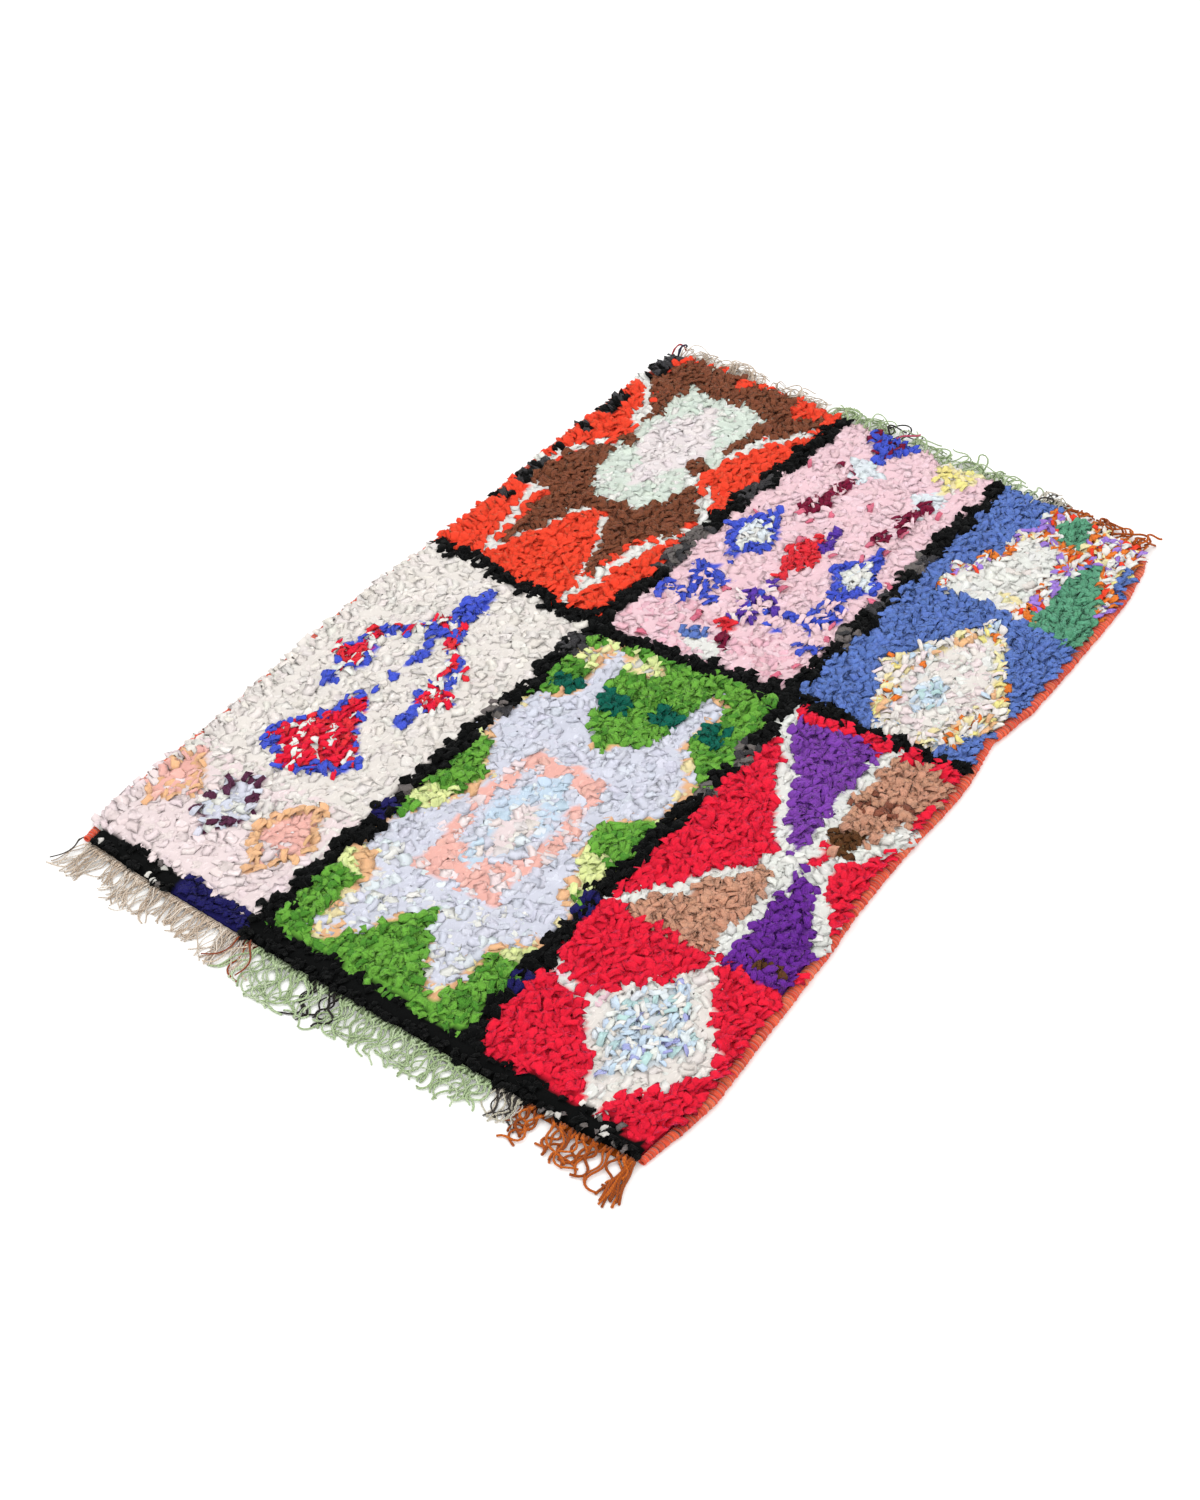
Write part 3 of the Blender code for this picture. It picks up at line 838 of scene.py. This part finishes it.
def makePile():
    rng = np.random.default_rng(11)
    x, y = tuftPlaces()
    ends = knots["endsPerTuft"]
    chance = rng.random(len(x) * ends)
    side = np.tile(np.linspace(-1, 1, ends), len(x))
    x, y = np.repeat(x, ends), np.repeat(y, ends)
    count = len(x)
    x = x + side * knots["endSpacing"] + rng.uniform(-1, 1, count) * knots["shakeX"]
    y = y + rng.uniform(-1, 1, count) * knots["shakeY"]
    margin = knots["edgeMargin"]
    x = np.clip(x, edge("left", y) + margin, edge("right", y) - margin)
    y = np.clip(y, edge("near", x) + margin, edge("far", x) - margin)
    border = y * 1000 < dividers["nearBorder"]
    navy = border & between(x * 1000, *dividers["navyRun"])
    turn = fallTurns(x, y, side, navy, rng)
    length = rng.uniform(*fall["lengths"], count) * np.where(border, fall["borderLength"], 1.0)
    reach = fall["visibleReach"] * length
    seenX, seenY = x - np.sin(turn) * reach, y + np.cos(turn) * reach
    rag, fine, which = paintCloth(seenX * 1000, seenY * 1000, chance, rng, fall["raggedMm"])
    which = np.where(border, 6, which)
    crisp = np.array([ragMake["crispness"].get(name, 1.0) for name in ragNames])[rag]
    sheet = (crisp < ragMake["sheetBelow"]) & ~border & ~fine
    rise = fall["sheetRise"] * sheet + fall["borderRise"] * border
    places = np.column_stack([x, y, pileHeight(x, y, fall["rootHeight"]) + rise])
    wide = rng.uniform(*fall["widths"], count) * np.where(fine, fall["fineWidth"], 1.0)
    wide = wide * np.where(sheet, fall["sheetWidth"], 1.0)
    wide = wide * np.where(border & ~navy, fall["borderWidth"], 1.0)
    high = rng.uniform(*fall["heights"], count) * np.where(border, fall["borderHeight"], 1.0)
    size = np.column_stack([wide, length, high])
    pick = rng.integers(0, ragMake["shapes"], count) + ragMake["shapes"] * sheet
    tint = fall["tint"] * rng.uniform(*fall["tintShake"], count)[:, None]
    tint = tint * rng.uniform(*fall["hueShake"], (count, 3))
    colours = np.clip(ragColours[rag] * tint, 0, brightestDye)
    names = ("pile_crossed", "pile_columns", "pile_stepped",
             "pile_chevron", "pile_horned", "pile_hourglass", "pile_near_border")
    pieces = []
    for number, name in enumerate(names):
        mine = which == number
        parts = placeCopies(*(values[mine] for values in (pick, turn, size, places, colours, crisp)))
        piece = joinedPiece(name, parts, tornJersey, smooth=False)
        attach(piece, "root")
        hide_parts("rug_body")
        pieces.append(piece)
    print("pile knotted:", count, "rag ends")
    return pieces


pile = makePile()


gridCrispness = 0.4


def startGrid(name, make):
    # A flat grid of cells, and each point's shares of the way across and along it, 0 to 1
    bpy.ops.object.select_all(action="DESELECT")
    bpy.ops.mesh.primitive_grid_add(x_subdivisions=make["cellsAcross"],
                                    y_subdivisions=make["cellsAlong"], size=1)
    grid = bpy.context.object
    grid.name = grid.data.name = name
    points = meshPoints(grid.data)
    return grid, points[:, 0] + 0.5, points[:, 1] + 0.5


def finishGrid(grid, points, colours, thickness):
    # The grid put in its shape and coloured (dye, and for the woven ends painted shade), with a wall below
    # it. Its creases are faint
    mesh = grid.data
    mesh.vertices.foreach_set("co", points.ravel())
    writeSurface(mesh, colours, points[:, :2] * 1000, np.full(len(points), gridCrispness))
    wall = grid.modifiers.new("wall", "SOLIDIFY")
    wall.thickness = thickness
    wall.offset = -1
    bpy.ops.object.modifier_apply(modifier="wall")
    mesh.materials.append(tornJersey)


def makeLayer(name, make, height, tone, rng):
    # A grid shaped to the cloth and dyed like it
    layer, across, along = startGrid(name, make)
    x, y = clothPoint(across, along)
    # Only the first rag of each mix, so that the flecks stay on top
    rag, _, _ = paintCloth(x * 1000, y * 1000, np.zeros(len(x)), rng, make["raggedMm"])
    finishGrid(layer, np.column_stack([x, y, height(x, y)]), np.clip(ragColours[rag] * tone, 0, brightestDye),
               make["thickness"])
    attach(layer, "root")
    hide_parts("rug_body")
    return layer


def makePacked():
    rng = np.random.default_rng(6)
    rough = packedMake["roughness"]

    def height(x, y):
        return pileHeight(x, y, packedMake["top"]) + rng.uniform(-rough, rough, len(x))

    packed = makeLayer("pile_packed", packedMake, height, 1.0, rng)
    packed.data.shade_smooth()
    print("pile packed")
    return packed


pile.append(makePacked())


# The woven ground under the pile, a thin plain weave that carries the knots

groundMake = dict(cellsAcross=40, cellsAlong=60, thickness=0.0022, top=0.0026, tone=0.7, raggedMm=4.0)


def makeGround():
    ground = makeLayer("ground_weave", groundMake, lambda x, y: np.full(len(x), groundMake["top"]),
                       groundMake["tone"], np.random.default_rng(5))
    print("ground woven")
    return ground


ground = makeGround()


# Overcast edges: orange-red wool wrapped round the edge cords, wrap beside wrap

wrapMake = dict(
    pitch=0.0054, width=0.0205, height=0.0112, yarn=0.0024, yarnAlong=0.0031,
    ringSides=12, yarnSides=5, slant=0.0035,
    endShare=0.6, endLength=0.12, clearance=0.0003, shake=0.0006,
    # How the wraps differ
    girths=(0.95, 1.05), yarnWidths=(0.9, 1.15), slants=(0.5, 1.4), tones=(0.88, 1.1),
    # A new shade of wool starts where a throw comes out above this
    newWoolAbove=0.72, colours=("#D24C30", "#D85838", "#C8442C", "#D46240", "#CC4A32"),
)


woolFinish = dict(roughness=0.85, sheen=0.3, shine=0.2, ridgeMm=1.4, ridgePaintedShade=(0.78, 1.12),
                  ridgeStrength=0.5, fuzzMm=2.2, fuzzStrength=0.3, deep=0.0006)


def woolMaterial():
    # Carded wool yarn, wrapped: matt, with fine ridges round the rope, painted shade in the grooves between
    # them and painted highlight on their tops
    make = woolFinish
    material, tree = newMaterial("wrappedWoolYarn")
    place = addNode(tree, "TexCoord").outputs["Object"]
    ridges = addNode(tree, "TexWave",
                     {"bands_direction": "Y", "Scale": 1000 / make["ridgeMm"] / 20, "Distortion": 1.2,
                      "Detail": 2.0, "Detail Scale": 2.0}, {"Vector": place}).outputs["Fac"]
    fuzz = addNode(tree, "TexNoise", {"Scale": 1000 / make["fuzzMm"], "Detail": 2.0}, {"Vector": place})
    # Painted shade in the grooves, painted highlight on the ridge tops
    low, high = make["ridgePaintedShade"]
    tone = addNode(tree, "MapRange", {"To Min": low, "To Max": high}, {"Value": ridges})
    ridgeBump = addNode(tree, "Bump", {"Strength": make["ridgeStrength"], "Distance": make["deep"]},
                        {"Height": ridges})
    fuzzBump = addNode(tree, "Bump", {"Strength": make["fuzzStrength"], "Distance": make["deep"]},
                       {"Height": fuzz, "Normal": ridgeBump})
    finishDyedAndShaded(tree, make, tone, fuzzBump)
    return material


woolYarn = woolMaterial()


def modelWrap():
    # One wrap: a ring drawn flat and wide, and leaning along the rope
    bpy.ops.object.select_all(action="DESELECT")
    bpy.ops.mesh.primitive_torus_add(
        major_segments=wrapMake["ringSides"], minor_segments=wrapMake["yarnSides"],
        major_radius=wrapMake["width"] / 2 - wrapMake["yarn"], minor_radius=wrapMake["yarn"],
        rotation=(math.pi / 2, 0, 0))
    wrap = bpy.context.object
    bpy.ops.object.transform_apply(rotation=True)
    startEdit()
    stretch = (1, wrapMake["yarnAlong"] / wrapMake["yarn"], wrapMake["height"] / wrapMake["width"])
    bpy.ops.transform.resize(value=stretch, center_override=(0, 0, 0))
    bpy.ops.object.mode_set(mode="OBJECT")
    return meshArrays(wrap)


wrapShape = modelWrap()


def makeSelvedge(side):
    rng = np.random.default_rng(21 if side == "left" else 22)
    outward = -1 if side == "left" else 1
    low, high = plan[side][0][0], plan[side][0][-1]
    count = round((high - low) / wrapMake["pitch"])
    shake = wrapMake["shake"]
    y = low + (high - low) * (np.arange(count) + 0.5) / count + rng.uniform(-shake, shake, count)
    fullness = np.clip(np.minimum(y - low, high - y) / wrapMake["endLength"], 0, 1)
    girth = wrapMake["endShare"] + (1 - wrapMake["endShare"]) * fullness
    girth = girth * rng.uniform(*wrapMake["girths"], count)
    x = edge(side, y) + outward * (wrapMake["clearance"] + wrapMake["width"] / 2 * girth)
    points = wrapShape[0]
    yarnWidth = rng.uniform(*wrapMake["yarnWidths"], count)
    ring = points[None] * np.column_stack([girth, yarnWidth, girth])[:, None]
    slant = wrapMake["slant"] * rng.uniform(*wrapMake["slants"], count)
    ring[..., 1] += slant[:, None] * ring[..., 2] / wrapMake["height"]
    ring += np.column_stack([x, y, wrapMake["height"] / 2 * girth])[:, None]
    wools = np.array([linearColour(c) for c in wrapMake["colours"]])
    run = (np.cumsum(rng.random(count) > wrapMake["newWoolAbove"]) % len(wools)).astype(int)
    colours = wools[run] * rng.uniform(*wrapMake["tones"], count)[:, None]
    part = copiesOf(wrapShape, ring, np.repeat(colours, len(points), axis=0))
    rope = joinedPiece("overcast_" + side, [part], woolYarn)
    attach(rope, "root")
    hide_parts("selvedge_" + side)
    print("overcast edge wrapped:", side, count)
    return rope


selvedges = [makeSelvedge(side) for side in ("left", "right")]


# Warp fringes: twisted yarns that run out of the flat-woven ends, combed, netted or looped

fringeMake = dict(
    sides=4, steps=16, knot=0.55, knotPlace=0.13, knotLength=0.05,
    stripWidth=0.0105, stripHeight=0.0036, rootInset=0.0085, settle=0.012, cornerGap=0.002,
    shortest=0.72, longest=1.22, sideLimit=(-0.522, 0.516), sideHold=0.85,
    # How yarns differ. The clump's middle and the roots shake in pitches
    reaches=(0.82, 1.04), tones=(0.88, 1.15), radii=(0.85, 1.2), swings=(0.6, 1.3), swingTurns=(5.5, 9.5),
    headingShake=0.12, middleShake=0.8, rootShake=0.3,
    # Each row: where it ends in X, shades, radius, pitch, yarns to a clump, pull to the clump's middle,
    # swing of the heading, and how far a yarn's heading bends in all, in radians
    warps=[
        dict(to=-0.172, shades=("#D9C8B6", "#CDBAA6", "#E2D6C8", "#BFAA95"), radius=0.00095, pitch=0.0022,
             clump=(6, 15), pull=0.86, lean=0.22, swing=0.38, bend=0.5, reach=dict(near=0.060, far=0.046)),
        dict(to=-0.150, shades=("#CDBBA6", "#8E3F1C", "#A9BD92"), radius=0.0013, pitch=0.0034,
             clump=(3, 6), pull=0.5, lean=0.2, swing=0.6, bend=0.7, reach=dict(near=0.060, far=0.056)),
        dict(to=0.262, shades=("#ABBF93", "#A0B486", "#BBCAA6"), radius=0.00145, pitch=0.0042,
             clump=(2, 6), pull=0.6, lean=0.2, swing=0.9, bend=0.6, reach=dict(near=0.066, far=0.052)),
        dict(to=0.312, shades=("#CFC6B8", "#3A3430", "#BDB7A4"), radius=0.0012, pitch=0.0028,
             clump=(4, 7), pull=0.6, lean=0.2, swing=0.6, bend=0.8, reach=dict(near=0.046, far=0.046)),
        dict(to=0.466, shades=("#AE520C", "#984608", "#BE6018"), radius=0.0020, pitch=0.0064,
             clump=(2, 4), pull=0.8, lean=0.25, swing=1.0, bend=0.8, reach=dict(near=0.070, far=0.044)),
        dict(to=0.600, shades=("#AE520C", "#984608", "#BE6018"), radius=0.0020, pitch=0.0021,
             clump=(12, 16), pull=0.66, lean=0.05, swing=0.15, bend=0.1, reach=dict(near=0.0735, far=0.034)),
    ],
    darkWarps=(-0.062, 0.006), dark="#1E1815",
    # Far yarns curl and rise more than the near ones
    curl=dict(near=1.0, far=2.0), lift=dict(near=0.004, far=0.026),
    # Stray yarns: where in X, shade, lean and reach
    strayRadius=dict(near=0.0013, far=0.0021), strayLift=0.004,
    strays=dict(near=[(-0.488, "#4A423E", -0.3, 0.056), (-0.176, "#8E3F1C", -0.5, 0.058),
                      (-0.162, "#8E3F1C", 0.3, 0.060)],
                far=[(-0.492, "#A8303A", 0.2, 0.036), (-0.478, "#2B2440", -0.3, 0.042),
                     (-0.024, "#C0506A", 0.5, 0.050)]),
)
yarnShares = np.linspace(0, 1, fringeMake["steps"] + 1)


yarnFinish = dict(roughness=0.88, sheen=0.12, shine=0.2, plyScale=0.16, plyPaintedShade=(0.72, 1.08),
                  plyStrength=0.6, plyDeep=0.0008)


def yarnMaterial():
    # Two-ply cotton and wool warp yarn: matt, its plies drawn as slanting grooves, with painted shade in the
    # grooves
    make = yarnFinish
    material, tree = newMaterial("twistedWarpYarn")
    along = addNode(tree, "UVMap", {"uv_map": "along"})
    plies = addNode(tree, "TexWave", {"bands_direction": "DIAGONAL", "Scale": make["plyScale"],
                                       "Distortion": 0.6}, {"Vector": along}).outputs["Fac"]
    # Painted shade in the grooves between the plies, painted highlight on the plies
    low, high = make["plyPaintedShade"]
    tone = addNode(tree, "MapRange", {"To Min": low, "To Max": high}, {"Value": plies})
    bump = addNode(tree, "Bump", {"Strength": make["plyStrength"], "Distance": make["plyDeep"]},
                   {"Height": plies})
    finishDyedAndShaded(tree, make, tone, bump)
    return material


warpYarn = yarnMaterial()


def modelYarn():
    # A straight yarn of unit length along Y, cut into short lengths that can bend
    bpy.ops.object.select_all(action="DESELECT")
    bpy.ops.mesh.primitive_circle_add(vertices=fringeMake["sides"], radius=1, fill_type="NGON",
                                      rotation=(math.pi / 2, 0, 0))
    yarn = bpy.context.object
    bpy.ops.object.transform_apply(rotation=True)
    startEdit()
    for step in range(fringeMake["steps"]):
        bpy.ops.mesh.extrude_region_move(TRANSFORM_OT_translate={"value": (0, 1 / fringeMake["steps"], 0)})
    bpy.ops.mesh.select_all(action="SELECT")
    bpy.ops.mesh.normals_make_consistent(inside=False)
    bpy.ops.object.mode_set(mode="OBJECT")
    return meshArrays(yarn)


yarnShape = modelYarn()


def warpAt(x):
    return next(warp for warp in fringeMake["warps"] if x < warp["to"])


def warpColour(x, chance):
    shades = warpAt(x)["shades"]
    if between(x, *fringeMake["darkWarps"]) and chance > 0.5:
        return linearColour(fringeMake["dark"])
    return linearColour(shades[int(chance * 7.99) % len(shades)])


def bentYarn(start, reach, drift, heading, radius, colour, outward, lift):
    # The straight yarn laid along its heading, section by section, and down from the strip to the floor
    points = yarnShape[0]
    steps = fringeMake["steps"]
    aside = np.concatenate([[0], np.cumsum(np.sin(heading[1:]))])
    out = np.concatenate([[0], np.cumsum(np.cos(heading[1:]))])
    scale = reach / max(out.max(), steps * 0.45)
    out = out * scale
    x = start[0] + aside * scale + drift * yarnShares ** 1.3
    low, high = fringeMake["sideLimit"]
    x = x + fringeMake["sideHold"] * (np.maximum(0, low - x) - np.maximum(0, x - high))
    y = start[1] + outward * out
    down = np.clip((out - fringeMake["rootInset"]) / fringeMake["settle"], 0, 1)
    fromKnot = (yarnShares - fringeMake["knotPlace"]) / fringeMake["knotLength"]
    thick = radius * (1 + fringeMake["knot"] * np.exp(-fromKnot ** 2))
    z = thick + fringeMake["stripHeight"] * (1 - down * down * (3 - 2 * down)) + lift
    runX, runY = np.gradient(x), np.gradient(y)
    run = np.hypot(runX, runY)
    ring = np.rint(points[:, 1] * steps).astype(int)
    across = points[:, 0] * thick[ring]
    placed = np.column_stack([
        x[ring] + across * (runY / run)[ring] * outward,
        y[ring] - across * (runX / run)[ring] * outward,
        z[ring] + points[:, 2] * thick[ring],
    ])
    angle = np.arctan2(points[:, 2], points[:, 0]) / (2 * math.pi)
    return copiesOf(yarnShape, placed[None], np.tile(colour, (len(points), 1)),
                    along=np.column_stack([angle * 10, points[:, 1] * reach * 1000]))


def looseHeading(warp, end, side, rng):
    # Where a yarn points on its way out: it swings, its neighbour the other way, and its end curls
    swing = warp["swing"] * rng.uniform(*fringeMake["swings"])
    swing = swing * np.sin(yarnShares * rng.uniform(*fringeMake["swingTurns"]) + side * math.pi)
    curl = rng.normal() * warp["bend"] * fringeMake["curl"][end] * yarnShares ** 2
    return rng.normal(0, fringeMake["headingShake"]) + swing * np.minimum(1, yarnShares * 3) + curl


def looseLift(end, rng):
    # How high each step of a yarn is off the floor: an arch, and now and then a raised end
    rise = fringeMake["lift"][end] * rng.random() ** 1.3
    arch = rise * np.sin(np.pi * yarnShares ** rng.uniform(0.7, 1.2)) ** 1.2
    return arch + rise * 0.5 * yarnShares ** 3 * (rng.random() > 0.6)


def makeFringe(end):
    rng = np.random.default_rng(31 if end == "near" else 32)
    outward = -1 if end == "near" else 1
    inset = outward * (fringeMake["stripWidth"] - fringeMake["rootInset"])
    left, right = plan[end][0][0], plan[end][0][-1]
    middleShake, rootShake = fringeMake["middleShake"], fringeMake["rootShake"]
    parts = []
    x = left + fringeMake["cornerGap"]
    while x < right - fringeMake["cornerGap"]:
        # A clump: neighbouring yarns that lean together, some short and some long
        warp = warpAt(x)
        size = int(rng.integers(*warp["clump"]))
        middle = x + warp["pitch"] * (size / 2 + rng.uniform(-middleShake, middleShake))
        clumpLength = rng.uniform(fringeMake["shortest"], fringeMake["longest"])
        clumpLean = rng.normal(0, warp["lean"])
        for member in range(size):
            rootX = x + rng.uniform(-rootShake, rootShake) * warp["pitch"]
            rootX = min(rootX, right - fringeMake["cornerGap"] / 2)
            reach = warp["reach"][end] * clumpLength * rng.uniform(*fringeMake["reaches"])
            colour = np.array(warpColour(rootX, rng.random())) * rng.uniform(*fringeMake["tones"])
            heading = clumpLean + looseHeading(warp, end, member % 2, rng)
            drift = (middle - rootX) * warp["pull"]
            radius = warp["radius"] * rng.uniform(*fringeMake["radii"])
            parts.append(bentYarn((rootX, edge(end, rootX) + inset), reach, drift, heading, radius, colour,
                                  outward, looseLift(end, rng)))
            x += warp["pitch"]
    for strayX, shade, lean, reach in fringeMake["strays"][end]:
        heading = lean + 0.5 * np.sin(yarnShares * 5)
        parts.append(bentYarn((strayX, edge(end, strayX) + inset), reach, 0, heading,
                              fringeMake["strayRadius"][end], linearColour(shade), outward,
                              fringeMake["strayLift"] + looseLift(end, rng)))
    fringe = joinedPiece("warp_fringe_" + end, parts, warpYarn)
    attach(fringe, "root")
    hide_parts("fringe_" + end)
    print("fringe knotted:", end, len(parts))
    return fringe


fringes = [makeFringe(end) for end in ("near", "far")]


# The flat-woven ends between pile and fringe: weft cords over and under the warps

wovenMake = dict(
    cellsAcross=240, cellsAlong=5, wavesAcross=60, wavesAlong=1.25,
    relief=0.0007, sink=0.0011, paintedShadeRelief=0.08, underside=0.0022,
)


def makeWovenEnd(end):
    outward = -1 if end == "near" else 1
    strip, across, along = startGrid("woven_end_" + end, wovenMake)
    left, right = plan[end][0][0], plan[end][0][-1]
    x = left + (right - left) * across
    y = edge(end, x) + outward * along * fringeMake["stripWidth"]
    over = np.cos((across - 0.5) * 2 * math.pi * wovenMake["wavesAcross"])
    over = over * np.cos(along * 2 * math.pi * wovenMake["wavesAlong"])
    z = fringeMake["stripHeight"] - wovenMake["sink"] + wovenMake["relief"] * over
    # Painted shade: darker where the weft dips under the warps, lighter where it rides over them
    shade = 1 - wovenMake["paintedShadeRelief"] + wovenMake["paintedShadeRelief"] * over
    colours = np.array([warpColour(px, 0.2) for px in x]) * shade[:, None]
    if outward < 0:
        strip.data.flip_normals()
    finishGrid(strip, np.column_stack([x, y, z]), np.clip(colours, 0, 1),
               fringeMake["stripHeight"] - wovenMake["underside"])
    strip.data.shade_smooth()
    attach(strip, "root")
    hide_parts("fringe_" + end)
    return strip


wovenEnds = [makeWovenEnd(end) for end in ("near", "far")]
print("flat-woven ends made")


# Floor and light

studio = dict(
    floorSize=14.0, floorDrop=0.0004, floorColour="#FAFAF9",
    worldColour="#FFFFFF", worldStrength=1.16,
    lamps=(
        dict(name="keyLamp", place=(-2.6, -1.2, 3.4), size=2.6, watts=32),
        dict(name="fillLamp", place=(2.8, -2.4, 3.0), size=3.0, watts=22),
        dict(name="backLamp", place=(0.4, 3.2, 3.2), size=3.0, watts=22),
    ),
)


def makeFloor():
    # Pale seamless paper: matt, so that it gives only soft shadows
    bpy.ops.object.select_all(action="DESELECT")
    bpy.ops.mesh.primitive_plane_add(size=studio["floorSize"], location=(0, 0, -studio["floorDrop"]))
    floor = bpy.context.object
    floor.name = "paleFloor"
    material, tree = newMaterial("paleStudioFloor")
    finishMaterial(tree, {"Base Color": linearColour(studio["floorColour"]) + [1], "Roughness": 0.7,
                          "Specular IOR Level": 0.2})
    floor.data.materials.append(material)


def makeLight():
    world = bpy.data.worlds.new("softWorld")
    world.use_nodes = True
    back = world.node_tree.nodes["Background"]
    back.inputs["Color"].default_value = linearColour(studio["worldColour"]) + [1]
    back.inputs["Strength"].default_value = studio["worldStrength"]
    bpy.context.scene.world = world
    for lamp in studio["lamps"]:
        light = bpy.data.lights.new(lamp["name"], "AREA")
        light.shape = "DISK"
        light.size = lamp["size"]
        light.energy = lamp["watts"]
        thing = bpy.data.objects.new(lamp["name"], light)
        thing.location = lamp["place"]
        thing.rotation_euler = (-Vector(lamp["place"])).to_track_quat("-Z", "Y").to_euler()
        bpy.context.scene.collection.objects.link(thing)
    bpy.context.scene.view_settings.view_transform = "Standard"


makeFloor()
makeLight()
print("studio lit")
